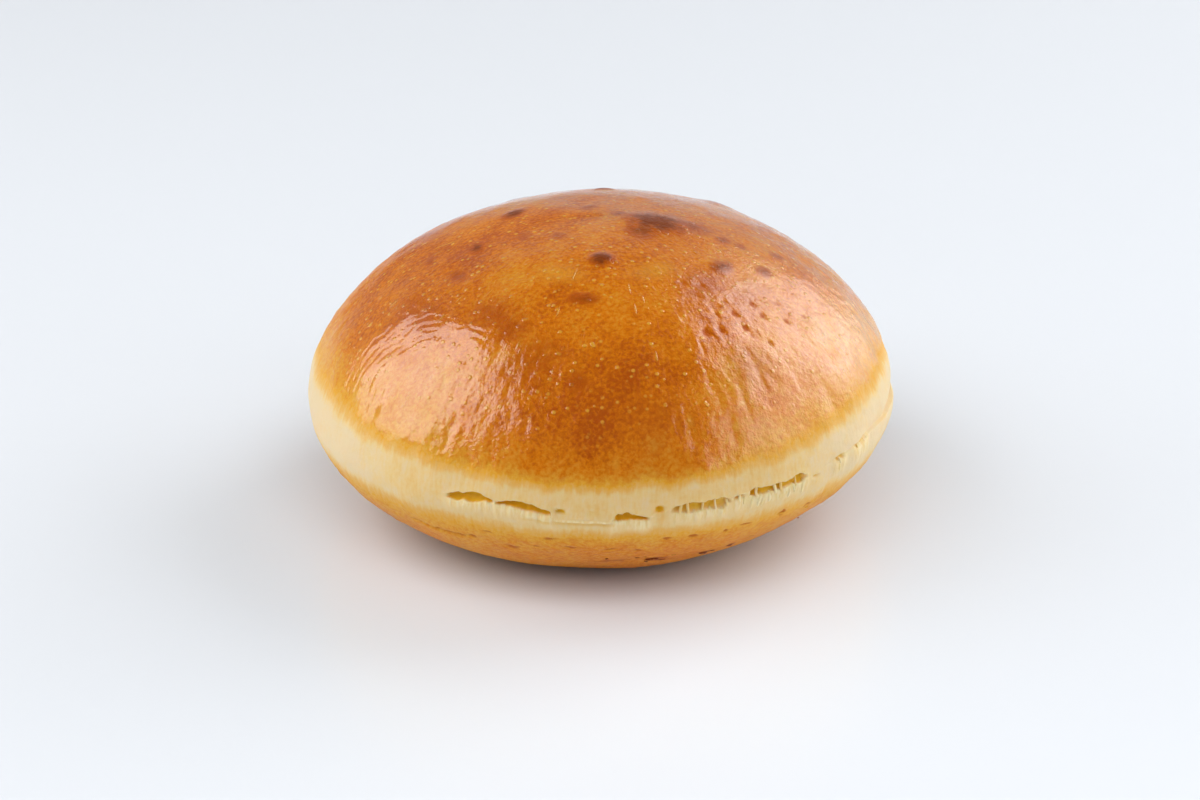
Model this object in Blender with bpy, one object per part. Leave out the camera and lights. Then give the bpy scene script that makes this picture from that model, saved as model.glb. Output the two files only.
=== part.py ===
"""A closed kolache: one round bun of soft dough, domed above, flat where it rests, torn open round its waist.

The skin is a stack of rings from the top down. Azimuth 0 is the front, at -Y, and grows towards +X.
Heights of the rings are measured from the waist, the widest level of the bun.
"""

from math import cos, hypot, pi, radians, sin

import bmesh
import bpy

MM = 0.001

# Driving dimensions.
WAIST_RADIUS = 52.2 * MM
WAIST_LEVEL = 21.5 * MM  # above the surface that the bun rests on
DOME_RISE = 32.6 * MM  # top of the dome above the waist
BELLY_DROP = 29.8 * MM  # where the belly's curve would end if it weren't pressed flat
BASE_FILLET = 1.2 * MM  # half the height over which the belly turns into the flat base
LEAN = 0.038  # the bun leans to +X by this share of the height above its waist

# Exponents of the superellipses |r/R|^a + |z/H|^b = 1 of the dome and of the belly, as (a, b).
DOME_CURVE = (2.0, 1.89)
BELLY_CURVE = (1.32, 1.84)

# The plan isn't a true circle: (waves round the bun, share of the radius, azimuth of a crest in degrees).
PLAN_WAVES = ((2, 0.0030, 35), (3, 0.0022, -70), (5, 0.0014, 160))

# The seam where the two browned faces meet wanders up and down round the waist.
SEAM_LEVEL = 1.0 * MM
SEAM_WAVES = ((1, 0.35 * MM, 40), (2, 0.30 * MM, 75), (5, 0.25 * MM, -30))
SEAM_CREASE = 0.15 * MM  # half height and depth of the crease where the seam holds shut

# Tears along the seam: (azimuth, half width in degrees, half height, depth).
TEARS = (
    (-24, 6, 0.75 * MM, 2.6 * MM),
    (-15, 6, 0.65 * MM, 2.4 * MM),
    (6, 5, 0.45 * MM, 1.6 * MM),
    (19, 8, 0.50 * MM, 1.5 * MM),
    (34, 8, 0.60 * MM, 2.0 * MM),
    (57, 9, 0.55 * MM, 1.6 * MM),
    (90, 16, 0.65 * MM, 1.8 * MM),
    (128, 12, 0.50 * MM, 1.4 * MM),
    (170, 14, 0.55 * MM, 1.6 * MM),
    (-142, 9, 0.45 * MM, 1.2 * MM),
)

# To the right the upper skin has drawn back behind the lower lip: (azimuth, half width in degrees, depth).
DRAWN_BACK = (88, 40, 1.1 * MM)
DRAWN_BACK_HEIGHT = 5.0 * MM

# Blisters and hollows of the dome: (azimuth, distance from the axis, half width along and across, rise).
BLISTERS = (
    (75, 9.8 * MM, 9.0 * MM, 7.0 * MM, 0.6 * MM),
    (0, 16.6 * MM, 3.4 * MM, 3.4 * MM, 0.4 * MM),
    (-113, 16.5 * MM, 4.0 * MM, 4.0 * MM, 0.4 * MM),
    (-7, 26.3 * MM, 4.5 * MM, 4.5 * MM, 0.3 * MM),
    (52, 26.0 * MM, 6.0 * MM, 6.0 * MM, -0.5 * MM),
    (-150, 31.0 * MM, 5.0 * MM, 5.0 * MM, 0.4 * MM),
    (140, 34.0 * MM, 6.0 * MM, 6.0 * MM, 0.4 * MM),
)

COLUMNS = 100
DOME_RINGS = 17
BELLY_RINGS = 11
DOME_FOOT_TURN = radians(11.5)  # lowest dome ring, as a turn up from the waist
BELLY_TOP_TURN = radians(9.5)
BELLY_FOOT_TURN = radians(51.5)  # here the belly's curve is already under the fillet, so this ring lies flat
BASE_RING_SHARE = 0.5  # radius of the ring inside the flat base, as a share of its edge

# Rings of the waist: (height over the seam, share of a tear's half height, share of a tear's depth).
WAIST_RINGS = (
    (2.8 * MM, 0.0, 0.0),
    (1.3 * MM, 0.5, 0.0),
    (0.0, 1.0, 0.0),
    (0.0, 0.7, 1.0),
    (0.0, -0.5, 1.0),
    (0.0, -1.0, 0.0),
    (-1.3 * MM, -0.5, 0.0),
    (-2.8 * MM, 0.0, 0.0),
)


def bell(distance):
    """1 at distance 0, falling smoothly to 0 at distance 1 and beyond."""
    return (1 - min(abs(distance), 1) ** 2) ** 2


def apart(azimuth, degrees):
    """The smaller angle, in degrees, between an azimuth in radians and one in degrees."""
    return abs((azimuth * 180 / pi - degrees + 180) % 360 - 180)


def waves(azimuth, table):
    """The sum of the table's cosine waves at this azimuth."""
    return sum(size * cos(count * (azimuth - radians(crest))) for count, size, crest in table)


def superellipse_point(turn, rise, curve):
    """Radius and height of the superellipse at a turn of 0 (waist) to a quarter circle (axis)."""
    across, up = curve
    return WAIST_RADIUS * cos(turn) ** (2 / across), rise * sin(turn) ** (2 / up)


def radius_at(height):
    """Radius of the untorn skin at a height above (or, negative, below) the waist."""
    rise, (across, up) = (DOME_RISE, DOME_CURVE) if height > 0 else (BELLY_DROP, BELLY_CURVE)
    return WAIST_RADIUS * (1 - (abs(height) / rise) ** up) ** (1 / across)


def pressed_flat(height):
    """The height, kept on or above the base plane, with a fillet where the belly meets it."""
    over = height + WAIST_LEVEL
    share = min(max(0.5 + 0.5 * over / BASE_FILLET, 0), 1)
    return over * share + BASE_FILLET * share * (1 - share) - WAIST_LEVEL


def tear_at(azimuth):
    """Half height and depth of the tear at this azimuth, never less than the seam's crease."""
    half_height = SEAM_CREASE
    depth = SEAM_CREASE
    for centre, half_width, tallest, deepest in TEARS:
        share = bell(apart(azimuth, centre) / half_width)
        half_height = max(half_height, tallest * share)
        depth = max(depth, deepest * share)
    return half_height, depth


def drawn_back(azimuth, over_seam):
    """How far the upper skin has drawn in behind the lower lip."""
    centre, half_width, depth = DRAWN_BACK
    share = bell(apart(azimuth, centre) / half_width)
    return depth * share * bell(over_seam / DRAWN_BACK_HEIGHT) if over_seam > 0 else 0


def blistered(x, y, radius, height):
    """The point moved along the dome's normal by the blisters that it lies on."""
    rise = 0
    for azimuth, distance, along, across, tallest in BLISTERS:
        out = (sin(radians(azimuth)), -cos(radians(azimuth)))
        from_x = x - distance * out[0]
        from_y = y - distance * out[1]
        radial = from_x * out[0] + from_y * out[1]
        sideways = from_x * out[1] - from_y * out[0]
        rise += tallest * bell(hypot(sideways / along, radial / across))
    steep = radius / WAIST_RADIUS**2
    level = height / DOME_RISE**2
    length = hypot(steep, level)
    outward = rise * steep / length / max(radius, MM)
    return x * (1 + outward), y * (1 + outward), height + rise * level / length


def placed(azimuth, radius, height):
    """The ring's point in the part's frame, with the plan's waves, the blisters and the lean."""
    radius *= 1 + waves(azimuth, PLAN_WAVES)
    x = radius * sin(azimuth)
    y = -radius * cos(azimuth)
    if height > 0:
        x, y, height = blistered(x, y, radius, height)
    return x + LEAN * height, y, height + WAIST_LEVEL


def dome_point(azimuth, turn):
    """A point of the dome, from the top down to just over the seam."""
    radius, height = superellipse_point(turn, DOME_RISE, DOME_CURVE)
    over_seam = height - SEAM_LEVEL - waves(azimuth, SEAM_WAVES)
    return placed(azimuth, radius - drawn_back(azimuth, over_seam), height)


def waist_point(azimuth, ring):
    """A point of a waist ring, which follows the seam and turns into its tears."""
    over_seam, height_share, depth_share = ring
    half_height, depth = tear_at(azimuth)
    over_seam += height_share * half_height
    height = SEAM_LEVEL + waves(azimuth, SEAM_WAVES) + over_seam
    inward = max(depth * depth_share, drawn_back(azimuth, over_seam))
    return placed(azimuth, radius_at(height) - inward, height)


def belly_point(azimuth, turn):
    """A point of the belly, from just under the seam down to the edge of the flat base."""
    radius, drop = superellipse_point(turn, BELLY_DROP, BELLY_CURVE)
    return placed(azimuth, radius, pressed_flat(-drop))


def base_point(azimuth, share):
    """A point inside the flat base, at a share of its edge's radius."""
    radius, _ = superellipse_point(BELLY_FOOT_TURN, BELLY_DROP, BELLY_CURVE)
    return placed(azimuth, radius * share, -WAIST_LEVEL)


def steps(first, last, count):
    """Evenly spaced values from first to last, both included."""
    return [first + (last - first) * i / (count - 1) for i in range(count)]


def ring_makers():
    """Each ring from the top down, as the function that gives its points and the value it takes."""
    dome_turns = steps(pi / 2, DOME_FOOT_TURN, DOME_RINGS + 1)[1:]
    belly_turns = steps(BELLY_TOP_TURN, BELLY_FOOT_TURN, BELLY_RINGS)
    makers = [(dome_point, turn) for turn in dome_turns]
    makers += [(waist_point, ring) for ring in WAIST_RINGS]
    makers += [(belly_point, turn) for turn in belly_turns]
    return [*makers, (base_point, BASE_RING_SHARE)]


def skin_mesh():
    """The closed skin: rings joined by quads, with a fan of triangles at the top and at the base."""
    azimuths = [2 * pi * i / COLUMNS for i in range(COLUMNS)]
    skin = bmesh.new()
    rings = [
        [skin.verts.new(point(azimuth, value)) for azimuth in azimuths]
        for point, value in ring_makers()
    ]
    for upper, lower in zip(rings, rings[1:]):
        for i in range(COLUMNS):
            j = (i + 1) % COLUMNS
            skin.faces.new((upper[i], lower[i], lower[j], upper[j]))
    for ring, pole in ((rings[0], placed(0, 0, DOME_RISE)), (rings[-1], placed(0, 0, -WAIST_LEVEL))):
        centre = skin.verts.new(pole)
        for i in range(COLUMNS):
            skin.faces.new((centre, ring[i], ring[(i + 1) % COLUMNS]))
    bmesh.ops.recalc_face_normals(skin, faces=skin.faces)
    bmesh.ops.translate(skin, verts=skin.verts, vec=to_middle(skin))
    mesh = bpy.data.meshes.new("bun")
    skin.to_mesh(mesh)
    skin.free()
    return mesh


def to_middle(skin):
    """The small move that brings the middle of the uneven plan onto the origin."""
    xs = [vertex.co.x for vertex in skin.verts]
    ys = [vertex.co.y for vertex in skin.verts]
    return (-(min(xs) + max(xs)) / 2, -(min(ys) + max(ys)) / 2, 0)


def crust_material():
    """The browned crust's plain colour and shine."""
    material = bpy.data.materials.new("crust")
    material.use_nodes = True
    shader = material.node_tree.nodes["Principled BSDF"]
    shader.inputs["Base Color"].default_value = (0.56, 0.25, 0.06, 1)
    shader.inputs["Roughness"].default_value = 0.35
    shader.inputs["Metallic"].default_value = 0.0
    return material


def main():
    for old in list(bpy.data.objects):
        bpy.data.objects.remove(old)
    mesh = skin_mesh()
    mesh.materials.append(crust_material())
    mesh.shade_smooth()
    bun = bpy.data.objects.new("bun", mesh)
    bpy.context.scene.collection.objects.link(bun)


main()
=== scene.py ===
"""A closed kolache, finished for a picture: egg-washed crust, pale torn waist, strands of torn crumb.

Azimuth 0 is the front, at -Y, and grows towards +X. Shapes are worked out in millimetres, with heights
measured from the waist, the widest level of the bun, and put into the meshes in metres.
"""

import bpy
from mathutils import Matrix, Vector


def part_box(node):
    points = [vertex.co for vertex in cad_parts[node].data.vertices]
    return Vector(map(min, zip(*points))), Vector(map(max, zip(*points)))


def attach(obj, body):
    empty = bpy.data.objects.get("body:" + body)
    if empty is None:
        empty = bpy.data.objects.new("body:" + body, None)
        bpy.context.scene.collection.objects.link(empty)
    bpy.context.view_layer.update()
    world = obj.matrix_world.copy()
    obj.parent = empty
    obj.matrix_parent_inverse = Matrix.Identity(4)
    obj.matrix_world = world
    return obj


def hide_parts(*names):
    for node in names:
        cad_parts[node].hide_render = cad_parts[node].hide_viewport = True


bl_info = {
    "name": "Kolache Bakery",
    "version": (1, 0, 0),
    "blender": (4, 5, 0),
    "location": "View3D > Sidebar > Kolache",
    "description": "Bakes a closed kolache with a torn waist, and sets it on a pale table",
    "category": "Add Mesh",
}

from math import pi, radians

import bpy
import numpy as np
from bpy.props import FloatProperty, FloatVectorProperty, IntProperty, PointerProperty
from mathutils import Vector

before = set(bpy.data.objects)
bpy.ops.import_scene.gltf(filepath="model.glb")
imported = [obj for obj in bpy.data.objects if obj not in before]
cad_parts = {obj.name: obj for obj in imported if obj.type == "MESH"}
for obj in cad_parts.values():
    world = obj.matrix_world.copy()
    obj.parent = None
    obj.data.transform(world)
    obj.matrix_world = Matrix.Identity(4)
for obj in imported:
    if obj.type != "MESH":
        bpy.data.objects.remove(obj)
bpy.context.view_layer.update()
BUN_LOW, BUN_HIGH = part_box("bun")

MM = 0.001

# The bun's curves: superellipses |r/R|^a + |z/H|^b = 1 of the dome and of the belly, as (a, b).
DOME_CURVE = (2.0, 1.89)
BELLY_CURVE = (1.32, 1.84)
ROUND_SHARE = 104.4 / 104.38  # of the plan's mean width, the mean diameter that its waves go round
DOME_SHARE = 0.6033  # of the bun's height that lies above its waist
BELLY_SHARE = 1.386  # height of the belly's whole curve, as a share of the waist's height over the table
BASE_FILLET = 1.2  # mm, half the height over which the belly turns into the flat base
LEAN = 0.038  # the bun leans to +X by this share of the height over its waist
PLAN_WAVES = ((2, 0.0030, 35), (3, 0.0022, -70), (5, 0.0014, 160))  # (waves round, share, crest's azimuth)

SLEEVE = 52.0  # mm, radius of the sleeve in which noise is stretched upright
SPOT_SLEEVE = 50.0  # mm, radius at which the widths of spots round the waist are measured
MOST_TRIANGLES = 200_000

# The tables' azimuths are in degrees, and their heights in mm over the waist.

# Level of the seam round the waist: (azimuth, level).
SEAM = (
    (-180, 0.5), (-150, 1.1), (-120, 0.6), (-90, 1), (-60, 0.8), (-40, 0.5), (-30, 0.4), (-28.8, 0.48),
    (-25.2, 1.14), (-21, 1.43), (-19.1, 1.05), (-15, 1.27), (-12.5, 0.95), (-11, 0.5), (-9.3, 0.4),
    (-7.6, -1.1), (-4.6, -1.13), (0.8, -1.24), (2, -1), (2.9, -0.14), (4.6, 0), (6.2, -0.37),
    (8.5, -0.6), (11, 0.2), (13.5, 0.7), (18.2, 0.78), (23.6, 0.9), (28.6, 1.35), (34.3, 1.25),
    (39.6, 1.4), (43.4, 1.1), (50.8, 1.73), (56, 1.95), (62, 2.3), (75, 1.2), (92, 0.6), (120, 1.2),
    (150, 0.4),
)

# Tears along the seam: (azimuth, half width in degrees, half height, depth), in mm.
TEARS = (
    (-25.2, 3.9, 0.78, 1.3), (-22.3, 2.5, 0.5, 1.1), (-17.6, 1.7, 0.3, 0.9), (-15, 2.6, 0.72, 1.2),
    (-12.5, 1.9, 0.74, 1.1), (-10.4, 1.6, 0.44, 0.9), (4.1, 1.6, 0.72, 1.2), (6.8, 2, 0.4, 1),
    (18.4, 5.6, 0.9, 0.62), (25.8, 1.2, 0.24, 0.5), (29.3, 1.2, 0.6, 1.3), (34.3, 6.2, 0.62, 0.75),
    (38.9, 1.8, 0.8, 1), (50.4, 1.2, 0.42, 0.5), (58, 2.6, 0.26, 0.3), (106, 7, 0.46, 1.2),
    (127, 9, 0.5, 1.5), (146, 5, 0.34, 1), (171, 8, 0.62, 1.7), (-152, 7, 0.42, 1.3),
    (-128, 4.5, 0.52, 1.5),
)

# Where the upper skin laps over (positive) or is drawn back behind (negative) the lower lip: (azimuth, mm).
LAP = (
    (-180, 0.15), (-120, 0.1), (-90, 0), (-34, 0), (-28, 0.1), (-20, 0.2), (-11, 0.22), (-8, 0), (2, 0),
    (4, 0.15), (8, 0.1), (20, 0.12), (35, 0.1), (50, -0.2), (70, -0.7), (90, -1), (112, -0.6),
    (135, -0.1), (160, 0.2),
)

# A flap of the upper skin that lies over the lower lip: (azimuth, height of its edge, thickness), in mm.
FLAP = (
    (-15.5, -0.55, 0), (-13.5, -0.7, 0.24), (-10, -1.05, 0.34), (-4.6, -1.13, 0.34), (0.8, -1.24, 0.34),
    (2.4, -1.15, 0.2), (3.4, -1, 0),
)

# Height over the waist where the pale dough gives way to the dome's browning: (azimuth, mm).
BROWN_EDGE = (
    (-180, 5), (-150, 5.6), (-120, 5.2), (-95, 5.2), (-75, 6), (-60, 5.9), (-47, 5), (-30, 4.3),
    (-12, 4.1), (0, 3.9), (14, 4.2), (30, 4.9), (45, 6), (60, 7.2), (78, 7.6), (105, 6.2), (135, 5),
    (158, 5.9),
)

# How golden, against amber, the dome's flanks are: (azimuth, share).
GOLDEN_FLANKS = (
    (-180, 0.75), (-150, 0.35), (-115, 0.9), (-75, 1), (-38, 1), (-25, 0.55), (-12, 0.12), (0, 0),
    (9, 0.08), (20, 0.35), (30, 0.9), (75, 1), (110, 0.8), (135, 0.25), (160, 0.5),
)

# Small holes through the upper skin near the seam: (azimuth, height, half width, half height, depth).
PINHOLES = (
    (-7.2, 0.62, 1.35, 0.52, 0.8), (-1.6, 0.62, 1.6, 0.3, 0.35), (0.8, 0.95, 1.4, 0.3, 0.3),
    (10.7, 0.9, 1.05, 0.85, 0.95), (43.4, 0.6, 1.1, 0.36, 0.45), (-38, 1.3, 0.3, 0.25, 0.2),
    (152, 0.9, 0.8, 0.45, 0.6), (-141, 1.1, 0.7, 0.4, 0.5), (-106, 0.7, 0.6, 0.45, 0.6),
)

# Cracks in the underside's crust, like dashes: (azimuth, height, half width, half height, depth).
CRACKS = (
    (-38, -7.7, 2.4, 0.28, 0.6), (-34.6, -7.85, 2.8, 0.32, 0.7), (-31, -8.02, 2.4, 0.3, 0.62),
    (-28, -7.85, 1.6, 0.32, 0.5), (-25.6, -7.8, 1.2, 0.34, 0.42), (-21.4, -5.75, 1.3, 0.26, 0.22),
    (-17, -8.55, 1.6, 0.46, 0.3), (-12, -7.4, 1, 0.24, 0.16), (-8.9, -5, 1.5, 0.34, 0.32),
    (-5.2, -7.1, 1.7, 0.26, 0.16), (2.4, -7.65, 1.5, 0.28, 0.28), (7.9, -8.3, 1, 0.26, 0.16),
    (12.9, -5.48, 1.1, 0.3, 0.28), (18, -5.5, 1.15, 0.48, 0.45), (24.5, -5.5, 0.6, 0.4, 0.38),
    (28.4, -4.8, 1.9, 0.2, 0.14), (36.9, -4.75, 1.5, 0.2, 0.16), (44, -5.6, 1.2, 0.24, 0.2),
    (78, -7, 1.6, 0.28, 0.3), (97, -6.1, 1.2, 0.28, 0.25), (118, -8.2, 2, 0.3, 0.3),
    (150, -6.6, 1.4, 0.28, 0.3), (-170, -7.8, 1.8, 0.3, 0.3), (-143, -6, 1.1, 0.28, 0.25),
    (-110, -7.4, 1.7, 0.3, 0.3), (-84, -6.8, 1.3, 0.28, 0.25),
)

# Scorched patches low on the belly, and in the first row a faint dark band along the front's bottom edge,
# painted shadow where the bun meets the table: (azimuth, height, half width, half height, darkness).
SCORCHES_AND_SHADOW = (
    (3, -12.6, 5.5, 1.1, 0.35), (12.8, -12.2, 3.2, 1, 0.85), (24.6, -12.5, 2.6, 0.9, 0.9),
    (29.6, -11.6, 1.6, 0.8, 0.8), (-62, -11.5, 4, 1.4, 0.5), (120, -12.5, 4, 1.4, 0.8),
    (-150, -12, 3.5, 1.3, 0.8),
)

# Bands of frayed crumb: (first azimuth, last, fingers that lie over the lower lip, webs across the tear).
FRAYED = (
    (12.9, 24.2, 7, 5), (24.6, 27.6, 3, 1), (28.4, 40.6, 10, 4), (49.4, 51.6, 2, 1), (55.5, 60.5, 4, 1),
    (99, 113, 13, 4), (119, 135, 17, 5), (163, 179, 18, 5), (-159, -146, 14, 5), (-132, -124, 9, 2),
)

# Large crumbs that cling to the belly: (azimuth, height, length, thickness, how far toasted), in mm.
CLINGING = (
    (11.8, -12.2, 2.4, 0.5, 0.9), (14.2, -12.7, 1.6, 0.45, 1), (24.1, -12.9, 2, 0.5, 1),
    (25.8, -12.3, 1.3, 0.4, 0.8), (29.4, -11.6, 1.5, 0.45, 1), (36.4, -4.95, 1.9, 0.34, 0),
    (-17.4, -9.3, 1.1, 0.3, 0.1), (44.6, -6.4, 1, 0.28, 0.1), (121, -12, 2, 0.5, 0.9),
    (-148, -12.4, 1.8, 0.45, 0.9),
)

# Upright creases of the dome's skin: (azimuth, half width in degrees, middle height, half height, depth).
CREASES = (
    (-21.6, 1.8, 10.5, 5, 0.08), (-15.4, 1.6, 9.5, 5.5, 0.09), (-31, 1.3, 10.5, 4.5, 0.1),
    (1.4, 1.3, 7.8, 4, 0.16), (9.4, 1.3, 11, 4.5, 0.14), (17.2, 2.2, 10.5, 5.5, 0.06),
    (23.8, 1.2, 19, 5, 0.07), (26.2, 1.6, 10.5, 6, 0.1), (30.6, 1.1, 15.5, 5, 0.1),
    (36.4, 1.4, 18.5, 4.5, 0.12), (38.5, 1.6, 9.5, 5, 0.14), (45.5, 1.3, 14, 5, 0.1),
    (52, 1.9, 9.5, 5, 0.12), (104, 2, 9.5, 5.5, 0.15), (133, 1.8, 10, 6, 0.16), (158, 1.6, 9, 5, 0.14),
    (-165, 1.8, 10, 6, 0.16), (-139, 1.8, 9, 5, 0.14), (-112, 2, 10, 6, 0.14),
)

# Small dents of the flanks: (azimuth, height, half width, half height, depth).
DENTS = (
    (-50.4, 17, 0.6, 1.4, 0.24), (-39.4, 18.8, 0.6, 1.5, 0.22), (-41.2, 16.6, 0.95, 0.7, 0.16),
    (-36.5, 15.9, 0.7, 0.7, 0.14), (-43.8, 20.6, 0.5, 0.5, 0.12), (-33.4, 19.6, 0.55, 1.1, 0.14),
    (55.6, 18.5, 0.7, 1.3, 0.16), (60.8, 16, 0.7, 1.2, 0.12), (-26, 15.5, 0.7, 1.6, 0.12),
    (-33, 8.8, 1.4, 0.7, 0.14), (-30, 11.5, 0.9, 1.2, 0.14),
)

# Blisters of the dome, and flat dark patches that do not rise; the patch at azimuth 36, 42 mm out, is
# painted shade that dims the shine there: (azimuth, distance from the axis, half length along, half width,
# rise, darkness).
BLISTERS = (
    (75, 10.3, 6.2, 8.6, 0.5, 0.85), (75, 10.8, 9.5, 12, 0.15, 0.3), (48, 9.6, 4.6, 5.6, 0.05, 0.5),
    (81, 16, 4.6, 6.6, 0.15, 0.45), (-16, 39, 10, 8.5, 0, 0.25), (11, 46, 11, 8, 0, 0.16),
    (40, 27, 9, 6, 0, 0.28), (36, 42, 8, 7, 0, 0.2), (-34, 32.5, 10, 7, 0, 0.27),
    (-57, 36.5, 14, 5.5, 0, 0.26), (50, 32, 12, 7, 0, 0.2), (0.9, 16.6, 3.2, 2.8, 0.5, 0.95),
    (-6, 26.6, 4.6, 2.2, 0.2, 0.5), (-112.3, 16.6, 4, 3.2, 0.25, 0.8),
    (-73.2, 22.4, 3.2, 2.2, 0.18, 0.65), (-80.4, 30, 2.6, 2, 0.05, 0.4),
    (-59.9, 28, 3.8, 2.2, -0.1, 0.45), (-64.1, 14.6, 2.8, 2.2, 0.05, 0.35),
    (-42.3, 10.6, 2.6, 2.2, 0.05, 0.4), (-157.3, 4.8, 2.8, 2.4, 0.05, 0.45),
    (102, 3.2, 2.4, 2.2, 0.05, 0.45), (76.9, 21.8, 2.4, 2.2, 0.04, 0.5),
    (77.5, 24.8, 2.2, 2, 0.03, 0.4), (54.6, 25.4, 4.2, 2.8, 0.3, 0.6), (67.4, 30.5, 3, 2.4, 0.1, 0.5),
    (82.7, 31, 2.6, 2.2, 0.03, 0.4), (64.5, 13.6, 2.2, 1.8, 0.03, 0.35), (-26, 34, 7.5, 6, -0.1, 0.3),
    (-32, 32.5, 3.4, 2.4, -0.05, 0.28), (-21, 40, 5.5, 5, -0.05, 0.2), (-5, 41.5, 4.4, 3, -0.06, 0.3),
    (-150, 30, 4, 3.4, 0.25, 0.6), (140, 33, 4.6, 3.6, 0.3, 0.55), (178, 21, 3, 2.6, 0.25, 0.7),
    (122, 40, 3, 2.4, 0.1, 0.4), (-128, 38, 3.2, 2.6, 0.12, 0.45),
)

# Pores of the dome's shiny right shoulder: (azimuth, distance from the axis, radius).
PORES = (
    (29.6, 35.7, 1.35), (34.2, 36, 1.05), (41.4, 36.8, 1.1), (41.6, 38.3, 0.75), (41.4, 34, 1.05),
    (49.3, 36.1, 0.95), (55.2, 38.5, 0.95), (49.8, 33.6, 1), (41.6, 31.5, 0.8), (33.5, 25.4, 0.8),
    (39.3, 27, 0.85), (58, 35.6, 0.75), (45, 40.2, 0.75), (36, 33.2, 0.7), (62, 39.5, 0.8),
)

# Pale flecks and patches of thin crust, and painted highlights on the creases low on the front, just over
# the waist: (azimuth, distance from the axis, half sizes).
PALE_FLECKS_AND_HIGHLIGHTS = (
    (-30.6, 6.6, 0.9, 0.9), (-19, 21, 6.5, 3.5), (26, 21, 6.5, 3.5), (37.5, 18, 0.8, 0.8),
    (3, 50.2, 0.9, 3), (10.4, 48.9, 0.6, 2.6), (18.3, 47, 0.8, 3),
)

# Fine wrinkles of the wash, as rings round a middle and kept near a spot: (middle, spot, reach round the
# spot, strength), with the middle and the spot as (azimuth, height).
WRINKLES = (
    ((-36, 11.5), (-58, 15), 8.5, 1), ((-36, 11.5), (-50, 21), 8.5, 1),
    ((-36, 11.5), (-35, 23.5), 7.5, 0.8), ((148, 12), (128, 19), 12, 0.8),
)
WRINKLE_SPACING = 1.6  # mm
DEEP_PORE = 1.25  # mm, radius from which a pore has its full depth


# ---------------------------------------------------------------- shape helpers


def bell(distance):
    """1 at distance 0, falling smoothly to 0 at distance 1 and beyond: (1 - d^2)^2."""
    return (1 - np.minimum(np.abs(distance), 1) ** 2) ** 2


def smooth_step(low, high, value):
    """0 up to low, 1 from high on, and between them 3t^2 - 2t^3."""
    share = np.clip((value - low) / (high - low), 0, 1)
    return share * share * (3 - 2 * share)


def apart(azimuth, degrees):
    """The smaller angle, in degrees with its sign, from an azimuth in degrees to azimuths in radians."""
    return (np.degrees(azimuth) - degrees + 180) % 360 - 180


def round_table(azimuth, table):
    """The table's value at each azimuth: neighbours in the closed table are joined by smooth steps."""
    places, values = np.array([*table, table[0]], dtype=float).T
    places[-1] += 360
    turned = (np.degrees(azimuth) - places[0]) % 360 + places[0]
    index = np.clip(np.searchsorted(places, turned, side="right") - 1, 0, len(table) - 1)
    share = smooth_step(places[index], places[index + 1], turned)
    return values[index] + (values[index + 1] - values[index]) * share


def ripple(points, wavelength, count, seed):
    """Smooth noise of about unit size: the sum of cosine waves in random directions and of random phase,
    with lengths of 0.7 to 1.4 times the wavelength."""
    chance = np.random.default_rng(seed)
    ways = chance.normal(size=(count, 3))
    ways /= np.linalg.norm(ways, axis=1)[:, None]
    ways *= (2 * pi / (wavelength * chance.uniform(0.7, 1.4, count)))[:, None]
    return np.cos(points @ ways.T + chance.uniform(0, 2 * pi, count)).sum(axis=1) * (2 / count) ** 0.5


def superellipse(radius, rise, curve):
    """A quarter of a superellipse in small steps, waist to axis, as (radius, height, arc length)."""
    turn = np.linspace(0, pi / 2, 4001)
    across, up = curve
    r = radius * np.cos(turn) ** (2 / across)
    r[-1] = 0
    z = rise * np.sin(turn) ** (2 / up)
    arc = np.concatenate([[0], np.cumsum(np.hypot(np.diff(r), np.diff(z)))])
    return r, z, arc


def on_sleeve(azimuth, height=0.0):
    """Points of an upright sleeve round the waist, in which noise can be stretched upright."""
    return np.stack([SLEEVE * np.sin(azimuth), -SLEEVE * np.cos(azimuth), height + 0 * azimuth], axis=1)


# ---------------------------------------------------------------- settings


def blend(first, second, share):
    """The colour that lies a share of the way from the first to the second."""
    return [(1 - share) * one + share * other for one, other in zip(first, second)]


def amount(name, description, default, high, low=0.0, **more):
    """A setting that is a number from low to high."""
    return FloatProperty(name=name, description=description, default=default, min=low, max=high, **more)


def tint(name, description, default):
    """A setting that is a colour."""
    limits = {"subtype": "COLOR", "size": 3, "min": 0.0, "max": 1.0}
    return FloatVectorProperty(name=name, description=description, default=default, **limits)


class BunSettings(bpy.types.PropertyGroup):
    """Sizes of the bun's skin."""

    columns: IntProperty(
        name="Columns",
        description="Mesh columns round the waist, a multiple of 8",
        default=600,
        min=64,
        max=1200,
    )
    relief: amount("Relief", "Depth of the dome's lumps and dimples, as a share of the usual", 1.0, 3.0)
    tear_depth: amount("Tear depth", "Depth of the tears in the waist, as a share of the usual", 1.0, 2.0)
    strands: amount("Strands", "Thickness of the torn strands, as a share of the usual", 1.0, 3.0, 0.1)
    loose_crumbs: IntProperty(
        name="Loose crumbs",
        description="Toasted crumbs scattered on the belly, besides the large ones",
        default=30,
        min=0,
        max=400,
    )


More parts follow.
